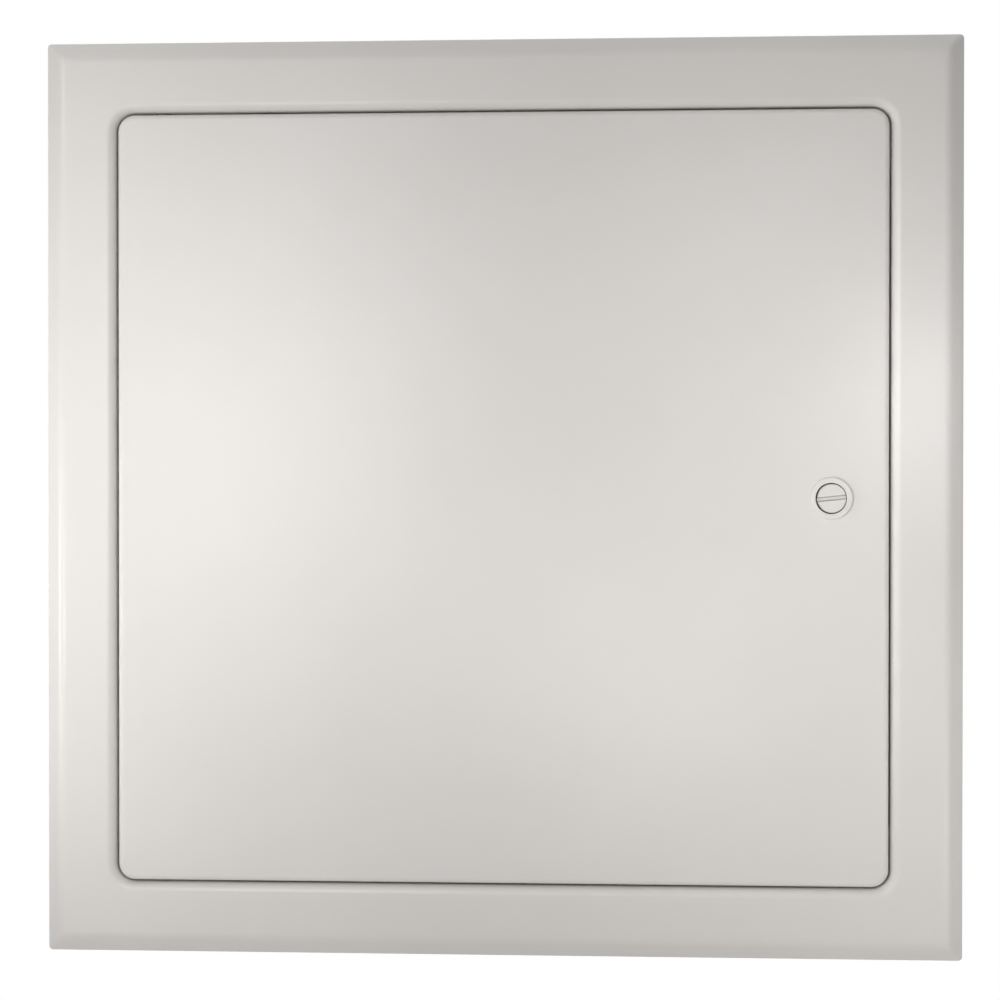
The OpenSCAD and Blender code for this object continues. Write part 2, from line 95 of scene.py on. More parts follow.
def rounded_square(half, corner_r, side_cuts, corner_steps=21):
    """Rounded squares in the x-z plane, one for each row of half and corner_r: quarter circles about
    corner centres that are half less corner_r from the middle, joined by straight sides with points
    at the fractions side_cuts of their length."""
    half = np.reshape(half, (-1, 1, 1))
    corner_r = np.reshape(corner_r, (-1, 1, 1))
    turn = np.radians(90 * np.arange(4)[:, None] + np.linspace(0, 90, corner_steps))
    sign_x = np.array([1, -1, -1, 1])[:, None]
    sign_z = np.array([1, 1, -1, -1])[:, None]
    x = (half - corner_r) * sign_x + corner_r * np.cos(turn)
    z = (half - corner_r) * sign_z + corner_r * np.sin(turn)
    cuts = np.reshape(side_cuts, (1, 1, -1))
    side_x = x[..., -1:] + (np.roll(x, -1, axis=1)[..., :1] - x[..., -1:]) * cuts
    side_z = z[..., -1:] + (np.roll(z, -1, axis=1)[..., :1] - z[..., -1:]) * cuts
    x = np.concatenate([x, side_x], axis=2)
    z = np.concatenate([z, side_z], axis=2)
    return x.reshape(len(x), -1), z.reshape(len(z), -1)


def grid_faces(rows, columns, close_rows, close_columns):
    """Four-sided faces between neighbouring points of a grid, joined end to end where it is closed."""
    row = np.arange(rows if close_rows else rows - 1)[:, None]
    column = np.arange(columns if close_columns else columns - 1)[None, :]
    next_row = (row + 1) % rows
    next_column = (column + 1) % columns
    corners = [
        row * columns + column, row * columns + next_column,
        next_row * columns + next_column, next_row * columns + column,
    ]
    return np.stack(corners, axis=-1).reshape(-1, 4).tolist()


def shell(points, close_rows=False, close_columns=True):
    """Closed shell on a grid of points: its faces, and one flat face on each end that isn't joined."""
    rows, columns = points.shape[:2]
    faces = grid_faces(rows, columns, close_rows, close_columns)
    number = np.arange(rows * columns).reshape(rows, columns)
    if not close_rows:
        faces += [number[0][::-1].tolist(), number[-1].tolist()]
    if not close_columns:
        faces += [number[:, 0].tolist(), number[:, -1][::-1].tolist()]
    return points.reshape(-1, 3), faces


def shell_mesh(*shells):
    """Mesh of one or more closed shells, each with its faces turned outwards."""
    whole = bmesh.new()
    for points, faces in shells:
        mesh = bpy.data.meshes.new("shell")
        mesh.from_pydata(points.tolist(), [], faces)
        one = bmesh.new()
        one.from_mesh(mesh)
        bmesh.ops.recalc_face_normals(one, faces=one.faces)
        if one.calc_volume(signed=True) < 0:
            bmesh.ops.reverse_faces(one, faces=one.faces)
        one.to_mesh(mesh)
        one.free()
        whole.from_mesh(mesh)
        bpy.data.meshes.remove(mesh)
    mesh = bpy.data.meshes.new("shells")
    whole.to_mesh(mesh)
    whole.free()
    return mesh


def soften(mesh, hard_angle=32):
    """Smooth shading all over, with edges sharper than hard_angle kept hard."""
    mesh.polygons.foreach_set("use_smooth", [True] * len(mesh.polygons))
    mesh.set_sharp_from_angle(angle=math.radians(hard_angle))


def add_piece(name, mesh, material, body, stands_for=None):
    """Puts a finished mesh on its body with its finish, and hides the node that it stands for."""
    soften(mesh)
    mesh.name = name
    piece = bpy.data.objects.new(name, mesh)
    scene_objects.link(piece)
    piece.data.materials.append(material)
    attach(piece, body)
    if stands_for:
        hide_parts(stands_for)
    return piece


def turned(profile_r, profile_height, centre, axes, steps=96, start=0, sweep=360):
    """Turned shape: each (radius, height) of the profile carried round the third of the axes, which
    runs through centre, from the angle start over sweep degrees. A radius may differ by angle."""
    whole_turn = sweep >= 360
    angle = np.radians(start + np.linspace(0, sweep, steps, endpoint=not whole_turn))[None, :, None]
    radius = np.reshape(profile_r, (len(profile_height), -1, 1))
    height = np.reshape(profile_height, (-1, 1, 1))
    across, up, along = (np.array(axis, float) for axis in axes)
    return np.array(centre) + radius * (np.cos(angle) * across + np.sin(angle) * up) + height * along


def cut_away(mesh, *cutters):
    """The mesh less the closed shells of the cutters."""
    piece = bpy.data.objects.new("to_cut", mesh)
    tool = bpy.data.objects.new("cutter", shell_mesh(*cutters))
    for part in (piece, tool):
        scene_objects.link(part)
    boolean = piece.modifiers.new("cut", "BOOLEAN")
    boolean.operation = "DIFFERENCE"
    boolean.solver = "EXACT"
    boolean.object = tool
    ready = piece.evaluated_get(bpy.context.evaluated_depsgraph_get())
    made = bpy.data.meshes.new_from_object(ready)
    for part in (piece, tool):
        bpy.data.objects.remove(part)
    return made


def feed(tree, socket, value):
    """Gives an input socket a linked output or a plain value."""
    if isinstance(value, bpy.types.NodeSocket):
        tree.links.new(value, socket)
    else:
        socket.default_value = value


def add_node(tree, kind, **inputs):
    """One shader node, with values or linked outputs for its named inputs."""
    made = tree.nodes.new(kind)
    for label, value in inputs.items():
        feed(tree, made.inputs[label.replace("_", " ")], value)
    return made


def bare_finish(name, metallic=0.0):
    """New finish with nothing on it yet: its material, nodes and shader, and the place on the piece."""
    material = bpy.data.materials.new(name)
    material.use_nodes = True
    tree = material.node_tree
    shader = tree.nodes["Principled BSDF"]
    shader.inputs["Metallic"].default_value = metallic
    return material, tree, shader, tree.nodes.new("ShaderNodeTexCoord").outputs["Object"]


def mottle(tree, place, scale, detail, roughness):
    """Noise over the surface, from 0 to 1."""
    noise = add_node(
        tree, "ShaderNodeTexNoise", Vector=place, Scale=scale, Detail=detail, Roughness=roughness,
    )
    return noise.outputs["Fac"]


def relief(tree, pattern, strength, depth, **under):
    """Fine bumps that follow a pattern, on top of the bumps under them."""
    bump = add_node(tree, "ShaderNodeBump", Strength=strength, Distance=depth, Height=pattern, **under)
    return bump.outputs["Normal"]


def lay_finish(tree, shader, pattern, tones, gloss_pattern, gloss_low, gloss_high, bumps):
    """Finish on a shader: its colour follows a pattern over tones, which are pairs of a place from 0 to 1
    and a colour, the two outer ones first. Its roughness follows a second pattern between two ends."""
    ramp = add_node(tree, "ShaderNodeValToRGB", Fac=pattern)
    stops = ramp.color_ramp.elements
    for number, (at, colour) in enumerate(tones):
        stop = stops[number] if number < 2 else stops.new(at)
        stop.position = at
        stop.color = (*colour, 1)
    gloss = add_node(tree, "ShaderNodeMapRange", Value=gloss_pattern, To_Min=gloss_low, To_Max=gloss_high)
    tree.links.new(ramp.outputs["Color"], shader.inputs["Base Color"])
    tree.links.new(gloss.outputs["Result"], shader.inputs["Roughness"])
    tree.links.new(bumps, shader.inputs["Normal"])


def powder_coat(name, deep, light, low_gloss=0.38, high_gloss=0.31):
    """Baked powder coat: a fine orange-peel skin over sheet that is never quite flat, with a faint
    drift of tone from deep to light and of gloss where the coat is thicker."""
    material, tree, paint, place = bare_finish(name)
    drift = mottle(tree, place, 11.0, 3.0, 0.55)
    peel = mottle(tree, place, 1100.0, 2.0, 0.5)
    speck = mottle(tree, place, 3600.0, 1.0, 0.5)
    sway = mottle(tree, place, 7.0, 1.0, 0.4)
    wave = relief(tree, sway, 0.25, 0.0006)
    skin = relief(tree, peel, 0.10, 0.00008, Normal=wave)
    grain = relief(tree, speck, 0.05, 0.00003, Normal=skin)
    lay_finish(tree, paint, drift, [(0.35, deep), (0.65, light)], peel, low_gloss, high_gloss, grain)
    paint.inputs["IOR"].default_value = 1.5
    return material


frame_coat = powder_coat("frame powder coat", (0.741, 0.717, 0.697), (0.761, 0.738, 0.718))

slope_run, slope_fall = 0.8, 0.6
down_slope = np.array([slope_run, -slope_fall])
slope_normal = np.array([slope_fall, slope_run])
slope_angle = math.degrees(math.atan2(slope_run, slope_fall))
rim_fold_out = rim_fold_r + sheet_t
edge_w = edge_roll_r * slope_fall + slope_w + rim_fold_out * (1 - slope_fall)
roll_middle = np.array([flange_w - edge_w, flange_face - edge_roll_r])
slope_top = roll_middle + edge_roll_r * slope_normal
slope_foot = slope_top + slope_w / slope_run * down_slope
fold_middle = slope_foot - rim_fold_out * slope_normal
slope_ends = section(slope_top + bend_flat * down_slope, slope_foot - bend_flat * down_slope)
lip_to_edge = section(
    (0, lip_rear + raw_edge), (0, flange_face - lip_roll_r - bend_flat),
    bend(lip_roll_r, flange_face - lip_roll_r, lip_roll_r, 180, 90, 17),
    (lip_roll_r + bend_flat, flange_face), (flange_w - edge_w - bend_flat, flange_face),
    bend(*roll_middle, edge_roll_r, 90, slope_angle, 15), slope_ends,
    bend(*fold_middle, rim_fold_out, slope_angle, 0, 13),
    (flange_w, raw_edge), (flange_w - raw_edge, 0),
)
edge_to_lip = section(
    (flange_w - sheet_t + raw_edge, 0), (flange_w - sheet_t, raw_edge),
    bend(*fold_middle, rim_fold_r, 0, slope_angle, 7), slope_ends[::-1] - sheet_t * slope_normal,
    bend(*roll_middle, edge_roll_r - sheet_t, slope_angle, 90, 11),
    (flange_w - edge_w - bend_flat, flange_back), (lip_roll_r + bend_flat, flange_back),
    bend(lip_roll_r, flange_face - lip_roll_r, lip_roll_r - sheet_t, 90, 180, 11),
    (sheet_t, flange_face - lip_roll_r - bend_flat), (sheet_t, lip_rear + raw_edge),
    (sheet_t - raw_edge, lip_rear), (raw_edge, lip_rear),
)
flange_section = np.concatenate([lip_to_edge, edge_to_lip])
flange_out = flange_section[:, 0]
flange_corner_r = np.interp(
    flange_out,
    [0, lip_roll_r, flange_w - edge_w, flange_w],
    [opening_r, opening_r + lip_roll_r, outer_corner_r, outer_corner_r],
)
flange_x, flange_z = rounded_square(opening_half + flange_out, flange_corner_r, np.linspace(0.04, 0.96, 9))
flange_y = np.broadcast_to(-flange_section[:, 1:], flange_x.shape)
flange_points = np.stack([flange_x, flange_y, flange_z], axis=-1)
flange_mesh = shell_mesh(shell(flange_points, close_rows=True))

rod_low, rod_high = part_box("hinge_rod")
rod_centre = (rod_low + rod_high) / 2
rod_r = (rod_high.x - rod_low.x) / 2
rod_axes = ((1, 0, 0), (0, 1, 0), (0, 0, 1))
rod_fit = 0.02 * MM
rod_cut = 1.02 * rod_high.z


def rod_hole(fit):
    """Long cylinder round the hinge rod, wider by fit, that cuts its holes."""
    return shell(turned(np.full(2, rod_r + fit), [-rod_cut, rod_cut], rod_centre, rod_axes, 64))


flange_mesh = cut_away(flange_mesh, rod_hole(rod_fit))
add_piece("flange_sheet", flange_mesh, frame_coat, "frame", "flange")

# Mounting neck: four rails folded from the same sheet. A foot turned out under the flange is spot
# welded to it, the web goes into the wall and takes the fixing screws, and a return stiffens the rear.
bend_r = 1.5 * MM
bend_out = bend_r + sheet_t
foot_w = 13 * MM
return_w = 6 * MM
foot_relief = 5 * MM
notch_depth = 2 * MM
screw_hole_r = 2.75 * MM
screw_along = 100 * MM
screw_rear = 7 * MM
web_in = opening_half + sheet_t
neck_rear = -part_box("neck_top")[1].y
web_front = flange_back - bend_out
web_rear = neck_rear + bend_out
forward = np.array([0.0, -1.0, 0.0])


def side_axes(side):
    """Directions out of and along one side of the panel, counted from the latch's side by quarter turns."""
    turn = math.radians(90 * side)
    return np.array([math.cos(turn), 0, math.sin(turn)]), np.array([-math.sin(turn), 0, math.cos(turn)])


def folded_strip(face, back, half_run, side, base, middle=0.0):
    """Folded sheet: a section given as paired points of its two faces, carried straight along one side
    of the panel. Each pair runs half_run to both sides of middle. Out is measured from base."""
    outward, along = side_axes(side)
    ring = np.concatenate([face, back[::-1]])
    run = np.concatenate([half_run, half_run[::-1]])
    spot = (base + ring[:, :1]) * outward + ring[:, 1:] * forward + middle * along
    ends = np.stack([spot - run[:, None] * along, spot + run[:, None] * along], axis=1)
    count = len(ring)
    pair = np.arange(len(face) - 1)
    other = count - 1 - pair
    faces = grid_faces(count, 2, True, False)
    faces += np.stack([2 * pair, 2 * pair + 2, 2 * other - 2, 2 * other], axis=1).tolist()
    faces += np.stack([2 * other + 1, 2 * other - 1, 2 * pair + 3, 2 * pair + 1], axis=1).tolist()
    return ends.reshape(-1, 3), faces


def break_edges(piece, width=0.14 * MM):
    """Takes the sharpness off the cut edges of a folded sheet, as the coat does."""
    bevel = piece.modifiers.new("broken edges", "BEVEL")
    bevel.width = width
    bevel.segments = 2
    bevel.limit_method = "ANGLE"
    bevel.angle_limit = math.radians(60)


def screw_holes(side):
    """Two cylinders through a rail's web, at right angles to it, that cut its fixing screw holes."""
    outward, along = side_axes(side)
    spots = np.array([-1, 1])[:, None] * screw_along * along
    spots = spots + web_in * outward + (neck_rear + screw_rear) * forward
    axes = (along, (0, 1, 0), outward)
    reach = [-3 * sheet_t, 4 * sheet_t]
    return [shell(turned(np.full(2, screw_hole_r), reach, spot, axes, 48)) for spot in spots]


foot_face = section((foot_w, flange_back), bend(bend_out, web_front, bend_out, 90, 180, 11))
foot_back = section((foot_w, flange_back - sheet_t), bend(bend_out, web_front, bend_r, 90, 180, 11))
web_face = section((0, web_front - notch_depth), (0, web_rear + notch_depth))
web_back = web_face + np.array([sheet_t, 0])
return_face = section(bend(-bend_r, web_rear, bend_r, 0, -90, 11), (sheet_t - return_w, neck_rear + sheet_t))
return_back = section(bend(-bend_r, web_rear, bend_out, 0, -90, 11), (sheet_t - return_w, neck_rear))
rail_face = np.concatenate([foot_face, web_face, return_face])
rail_back = np.concatenate([foot_back, web_back, return_back])


def rail_mesh(side, web_run, return_run):
    """One rail: the folded section with its own run for the foot, the web and the return. The top and
    bottom rails have a hole for the rod as well as their screw holes."""
    runs = [opening_half - foot_relief, web_run, return_run]
    half_run = np.repeat(runs, [len(foot_face), len(web_face), len(return_face)])
    mesh = shell_mesh(folded_strip(rail_face, rail_back, half_run, side, web_in))
    rod_holes = [rod_hole(rod_fit)] if side % 2 else []
    return cut_away(mesh, *screw_holes(side), *rod_holes)


side_run = (web_in, web_in - return_w)
level_run = (web_in + sheet_t, web_in)
rails = {
    "neck_latch_side": (0, *side_run), "neck_top": (1, *level_run),
    "neck_hinge_side": (2, *side_run), "neck_bottom": (3, *level_run),
}
for rail_name, rail_place in rails.items():
    rail = rail_mesh(*rail_place)
    break_edges(add_piece(rail_name + "_rail", rail, frame_coat, "frame", rail_name))

# Door stops and strike: three angles folded from the same sheet and spot welded to the rails. The
# closed door rests on two of them and on the strike, and the latch's cam turns behind the strike.
stop_w = 11.5 * MM
strike_low, strike_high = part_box("strike_angle")
stop_front = -strike_low.y
stop_rear = -strike_high.y
stop_face = section(
    (-stop_w, stop_front), bend(-bend_out, stop_front - bend_out, bend_out, 90, 0, 13), (0, stop_rear),
)
stop_back = section(
    (-stop_w, stop_front - sheet_t), bend(-bend_out, stop_front - bend_out, bend_r, 90, 0, 13),
    (-sheet_t, stop_rear),
)
stop_low, stop_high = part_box("door_stop_top")
stop_half = (stop_high.x - stop_low.x) / 2
stop_middle = (stop_high.x + stop_low.x) / 2
stops = {
    "strike_angle": (0, strike_high.z, 0.0),
    "door_stop_top": (1, stop_half, -stop_middle),
    "door_stop_bottom": (3, stop_half, stop_middle),
}
for stop_name, (side, half_run, middle) in stops.items():
    runs = np.full(len(stop_face), half_run)
    stop = shell_mesh(folded_strip(stop_face, stop_back, runs, side, web_in, middle))
    break_edges(add_piece(stop_name + "_fold", stop, frame_coat, "frame", stop_name))

# Spot welds: shallow round electrode marks, each a low ring round a flat middle, on the stops' welded
# legs, on the rails behind them and along the rails' feet, all under the same coat.
mark_r = 2.7 * MM
mark_h = 0.14 * MM


def weld_marks(spots, facing, along):
    """Weld marks at spots on a flat face: height over the face as a function of radius and angle, a
    ring that rises to mark_h near its rim and falls to a flat middle, closed a little below the face."""
    radius = mark_r * np.array([0.8, 1.02, 1.0, 0.95, 0.88, 0.8, 0.7, 0.6, 0.5, 0.2])
    height = mark_h * np.array([-0.6, -0.6, 0.1, 0.55, 0.9, 1.0, 0.75, 0.4, 0.3, 0.28])
    across = np.cross(facing, along)
    marks = turned(radius, height, (0, 0, 0), (along, across, facing), 24)
    return [shell(marks + spot) for spot in spots]


marks = []
mark_step = 47 * MM
foot_mark_out = web_in + 0.62 * foot_w
stop_mark_height = stop_front - 0.68 * (stop_front - stop_rear)
for side in range(4):
    outward, along = side_axes(side)
    foot_spots = np.linspace(-2.5, 2.5, 6)[:, None] * mark_step * along
    foot_spots = foot_spots + foot_mark_out * outward + (flange_back - sheet_t) * forward
    marks += weld_marks(foot_spots, -forward, along)
for side, half_run, middle in stops.values():
    outward, along = side_axes(side)
    leg_spots = (middle + np.linspace(-0.88, 0.88, 5) * half_run)[:, None] * along
    leg_spots = leg_spots + stop_mark_height * forward
    marks += weld_marks(leg_spots + (web_in - sheet_t) * outward, -outward, along)
    marks += weld_marks(leg_spots + (web_in + sheet_t) * outward, outward, along)
add_piece("spot_welds", shell_mesh(*marks), frame_coat, "frame")

# Corner welds: a short rippled bead down each seam of the neck, where the ends of the side rails meet
# the top and bottom rails, laid by hand and coated with the frame.
bead_half_w = 1.3 * MM
bead_h = 0.5 * MM
bead_pitch = 1.7 * MM
bead_front = web_front - 2 * notch_depth
bead_rear = web_rear


def weld_bead(corner_x, corner_z, phase):
    """Bead along the seam: an ellipse, bead_half_w by bead_h, carried from front to rear, that swells
    at each ripple, arches between its two flanks, and rounds off to nothing at both ends."""
    s = np.linspace(0, 1, 97)[1:-1, None]
    angle = np.linspace(0, 2 * np.pi, 20, endpoint=False)[None, :]
    run = bead_front - bead_rear
    arch = 0.35 * bead_pitch * np.abs(np.cos(angle))
    ripple = 1 + 0.13 * np.sin(2 * np.pi * (s * run + arch) / bead_pitch + phase)
    taper = np.minimum(1, np.sqrt(np.minimum(s, 1 - s) * run / (0.8 * bead_half_w)))
    size = ripple * taper
    x = corner_x * (web_in + sheet_t) + corner_x * bead_h * size * np.sin(angle)
    z = corner_z * web_in + bead_half_w * size * np.cos(angle)
    y = np.broadcast_to(-(bead_front - s * run), x.shape)
    return shell(np.stack([x, y, z], axis=-1))


beads = [weld_bead(x, z, x + 2 * z) for x in (-1, 1) for z in (-1, 1)]
add_piece("corner_welds", shell_mesh(*beads), frame_coat, "frame")

# Hinge rod: a drawn steel rod, zinc plated, with chamfered ends and a groove near each end for a clip.
# It passes through the rails, the lip and the door's side walls, and hides behind the closed door.
rod_half = rod_high.z
rod_chamfer = 0.45 * MM
clip_low, clip_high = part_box("rod_clips")
clip_t = 0.7 * MM
groove_slip = 0.1 * MM
groove_depth = 0.5 * MM
groove_r = rod_r - groove_depth
clip_outer = clip_high.z
clip_inner = clip_high.z - clip_t


def zinc_plate(name, deep, light, tint, rough_low, rough_high, brush=(1, 1, 1)):
    """Bright zinc plate: metal that drifts between two greys with a faint warm and cool chromate tint,
    and fine drawing marks that brush stretches along one direction."""
    material, tree, metal, place = bare_finish(name, metallic=1.0)
    stretch = add_node(tree, "ShaderNodeMapping", Vector=place, Scale=brush)
    drift = mottle(tree, place, 160.0, 4.0, 0.6)
    marks = mottle(tree, stretch.outputs["Vector"], 1800.0, 3.0, 0.6)
    scratch = relief(tree, marks, 0.12, 0.00004)
    tones = [(0.3, deep), (0.72, light), (0.5, tint)]
    lay_finish(tree, metal, drift, tones, marks, rough_low, rough_high, scratch)
    return material


drawn_zinc = zinc_plate(
    "zinc plate on drawn rod", (0.50, 0.51, 0.53), (0.64, 0.65, 0.67), (0.60, 0.59, 0.565), 0.24, 0.42,
    brush=(1, 1, 0.04),
)
rod_half_section = section(
    (rod_r, clip_inner - groove_slip - raw_edge), (rod_r - raw_edge, clip_inner - groove_slip),
    (groove_r, clip_inner - groove_slip), (groove_r, clip_outer + groove_slip),
    (rod_r - raw_edge, clip_outer + groove_slip), (rod_r, clip_outer + groove_slip + raw_edge),
    (rod_r, rod_half - rod_chamfer), (rod_r - rod_chamfer, rod_half), (0.4 * rod_r, rod_half),
)
rod_section = np.concatenate([rod_half_section[::-1] * [1, -1], rod_half_section])
rod_middle = (rod_centre.x, rod_centre.y, 0)
rod_mesh = shell_mesh(shell(turned(*rod_section.T, rod_middle, rod_axes, 64)))
add_piece("hinge_rod_turned", rod_mesh, drawn_zinc, "frame", "hinge_rod")

# Rod clips: two open rings stamped from spring steel and blackened in heat treatment. Each snaps into
# its groove from the side and has two notches that let it spread.
clip_r = (clip_high.y - clip_low.y) / 2
clip_bore_r = groove_r + groove_slip / 2
clip_mouth = 1.5 * groove_r
notch_r = 0.9 * MM
notch_at = groove_r + 0.5 * MM
notch_turn = 100
clip_edge = 0.06 * MM


def dark_spring_steel(name, deep, light):
    """Heat-treated spring steel: dark oxide that wears to brighter grey in fine patches."""
    material, tree, metal, place = bare_finish(name, metallic=1.0)
    patch = mottle(tree, place, 520.0, 5.0, 0.65)
    pits = relief(tree, patch, 0.15, 0.00005)
    lay_finish(tree, metal, patch, [(0.38, deep), (0.68, light)], patch, 0.5, 0.3, pits)
    return material


oxide_steel = dark_spring_steel("blackened spring steel", (0.10, 0.10, 0.105), (0.23, 0.225, 0.22))


def flat_ring(bore, rim, low, high, edge):
    """Section of a flat ring, as radii and heights: a rectangle from bore to rim, which may both differ by
    angle, and from low to high, with its four corners broken by edge."""
    radius = np.array([bore, bore + edge, rim - edge, rim, rim, rim - edge, bore + edge, bore])
    height = np.array([low + edge, low, low, low + edge, high - edge, high, high, high - edge])
    return radius, height


def clip_shell(end):
    """Open ring: from one side of its mouth to the other, an inner radius that bulges into two notches
    and a round outer radius, at two heights with broken edges."""
    s = np.linspace(0, 1, 121)
    mouth_in = math.degrees(math.asin(clip_mouth / 2 / clip_bore_r))
    mouth_out = math.degrees(math.asin(clip_mouth / 2 / clip_r))
    angle_in = np.radians(mouth_in + s * (360 - 2 * mouth_in))
    angle_out = np.radians(mouth_out + s * (360 - 2 * mouth_out))
    off_notch = np.abs(angle_in[:, None] - np.radians([notch_turn, 360 - notch_turn])).min(axis=1)
    side_step = notch_at * np.sin(off_notch)
    reach = np.sqrt(np.maximum(notch_r**2 - side_step**2, 0))
    in_notch = (side_step < notch_r) & (off_notch < 1)
    inner = np.maximum(clip_bore_r, np.where(in_notch, notch_at * np.cos(off_notch) + reach, 0))
    radius, height = flat_ring(inner, np.full(len(s), clip_r), clip_inner, clip_outer, clip_edge)
    angle = np.array([angle_in] * 2 + [angle_out] * 4 + [angle_in] * 2)
    x = rod_centre.x + radius * np.cos(angle)
    y = rod_centre.y + radius * np.sin(angle)
    z = end * np.broadcast_to(height[:, None], x.shape)
    return shell(np.stack([x, y, z], axis=-1), close_rows=True, close_columns=False)


clip_mesh = shell_mesh(clip_shell(1), clip_shell(-1))
add_piece("rod_clip_pair", clip_mesh, oxide_steel, "frame", "rod_clips")

# Hinge washers: two grey nylon washers on the rod, between the lip and the door's side walls, that
# carry the door's weight and keep paint off paint.
washer_low, washer_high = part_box("hinge_washers")
washer_r = (washer_high.x - washer_low.x) / 2
washer_t = 0.7 * MM
pivot_fit = 0.06 * MM
washer_edge = 0.16 * MM


def moulded_nylon(name, deep, light):
    """Moulded nylon: a soft, faintly cloudy skin with an uneven sheen."""
    material, tree, plastic, place = bare_finish(name)
    cloud = mottle(tree, place, 420.0, 3.0, 0.5)
    skin = relief(tree, cloud, 0.1, 0.00004)
    lay_finish(tree, plastic, cloud, [(0.35, deep), (0.65, light)], cloud, 0.42, 0.56, skin)
    return material


washer_nylon = moulded_nylon("grey nylon", (0.132, 0.131, 0.128), (0.168, 0.166, 0.162))
washer_rows, washer_heights = flat_ring(
    rod_r + pivot_fit, washer_r, washer_high.z - washer_t, washer_high.z, washer_edge,
)
washer_shells = [
    shell(turned(washer_rows, end * washer_heights, rod_middle, rod_axes, 64), close_rows=True)
    for end in (1, -1)
]
washer_mesh = shell_mesh(*washer_shells)
add_piece("hinge_washer_pair", washer_mesh, washer_nylon, "frame", "hinge_washers")

# Door: a shallow pan folded from one 1.5 mm sheet, with its corners welded and ground round, and lips
# folded in along the back of its four sides. It is powder coated with the frame, from the same batch.
door_t = 1.5 * MM
door_edge_r = 2.2 * MM
door_inner_r = door_edge_r - door_t
roll_end = door_edge_r + bend_flat
lip_root = door_edge_r + 2 * bend_flat
door_r = opening_r - door_gap
door_lip_w = 8 * MM
door_lip_relief = 4 * MM
door_flat = 11 * MM
door_face = -door_low.y
door_rear = -door_high.y
door_half = door_high.x
door_back = door_face - door_t
door_coat = powder_coat("door powder coat", (0.743, 0.720, 0.701), (0.763, 0.742, 0.722))
door_section = section(
    (door_flat, door_face), (roll_end, door_face),
    bend(door_edge_r, door_face - door_edge_r, door_edge_r, 90, 180, 15),
    (0, door_face - roll_end), (0, door_rear + roll_end),
    bend(door_edge_r, door_rear + door_edge_r, door_edge_r, 180, 270, 11),
    (roll_end, door_rear), (lip_root, door_rear),
    (lip_root, door_rear + door_t), (roll_end, door_rear + door_t),
    bend(door_edge_r, door_rear + door_edge_r, door_inner_r, 270, 180, 7),
    (door_t, door_rear + roll_end), (door_t, door_face - roll_end),
    bend(door_edge_r, door_face - door_edge_r, door_inner_r, 180, 90, 7),
    (roll_end, door_back), (door_flat, door_back),
)
door_in = door_section[:, 0]
least_corner_r = 0.8 * MM
door_corner_r = np.maximum(door_r - door_in, least_corner_r)
door_side = 2 * (door_half - door_r)
lip_cuts = np.array([door_lip_relief, door_lip_relief + 0.8 * door_lip_w]) / door_side
side_cuts = np.concatenate([lip_cuts, np.linspace(0.15, 0.85, 7), 1 - lip_cuts[::-1]])
door_x, door_z = rounded_square(door_half - door_in, door_corner_r, side_cuts)
lip_rows = np.isclose(door_in, lip_root)[:, None]
corner_points = door_x.shape[1] // 4 - len(side_cuts)
on_side = np.concatenate([np.zeros(corner_points + 1), np.ones(len(side_cuts) - 2), np.zeros(1)])
lip_reach = lip_rows * np.tile(on_side, 4) * (door_lip_w - lip_root)
side_of = np.repeat(np.arange(4), door_x.shape[1] // 4)
inward_x = np.array([0, 1, 0, -1])[side_of]
inward_z = np.array([-1, 0, 1, 0])[side_of]
door_x = door_x + lip_reach * inward_x
door_z = door_z + lip_reach * inward_z
door_y = np.broadcast_to(-door_section[:, 1:], door_x.shape)
door_mesh = shell_mesh(shell(np.stack([door_x, door_y, door_z], axis=-1)))

housing_low, housing_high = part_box("latch_housing")
latch_x = (housing_low.x + housing_high.x) / 2
latch_centre = (latch_x, 0, 0)
latch_axes = ((1, 0, 0), (0, 0, 1), (0, -1, 0))
barrel_r = 7.25 * MM
barrel_fit = 0.2 * MM
hole_ends = [door_back - door_t, door_face + door_t]
latch_hole = turned(np.full(2, barrel_r + barrel_fit), hole_ends, latch_centre, latch_axes, 64)
door_mesh = cut_away(door_mesh, shell(latch_hole), rod_hole(pivot_fit))
add_piece("door_pan", door_mesh, door_coat, "door", "door_panel")

# Latch housing: a collar and threaded barrel turned from steel in one, and coated white where paint reaches;
# deeper in its bore the faces are near black, bare steel darkened as painted shade.
# The collar sits on the door round the slotted head, a little to its left, and a rim stops the cam.
collar_r = (housing_high.x - housing_low.x) / 2
collar_top = -housing_low.y
crown_r = 0.85 * MM
bore_edge_r = 0.2 * MM
bore_shade_depth = 0.7 * MM
head_r = 5.6 * MM
head_slip = 0.35 * MM
head_bore_r = head_r + head_slip
bore_offset = 0.27 * MM
head_floor = door_back
shaft_r = 3.5 * MM
shaft_bore_r = shaft_r + pivot_fit
cam_low, cam_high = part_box("latch_cam")
cam_t = 2 * MM
cam_rear = -cam_high.y
cam_front = cam_rear + cam_t
spring_space = 1 * MM
barrel_rear = cam_front + spring_space
thread_pitch = 1 * MM
thread_depth = 0.42 * MM
thread_run_out = 1.2 * MM
thread_lead_in = 0.9 * MM
barrel_chamfer = 0.45 * MM
barrel_end_in = 0.7 * MM
barrel_end_rise = 0.25 * MM
thread_front = door_back - 0.1 * MM
rim_in_r = 6 * MM
rim_edge = 0.12 * MM
rim_start, rim_sweep = 196.5, 237
rim_rear = -housing_high.y
rest_turn = 6
rest_angle = math.radians(rest_turn)
rotor_axes = (
    (math.cos(rest_angle), 0, math.sin(rest_angle)),
    (-math.sin(rest_angle), 0, math.cos(rest_angle)),
    (0, -1, 0),
)


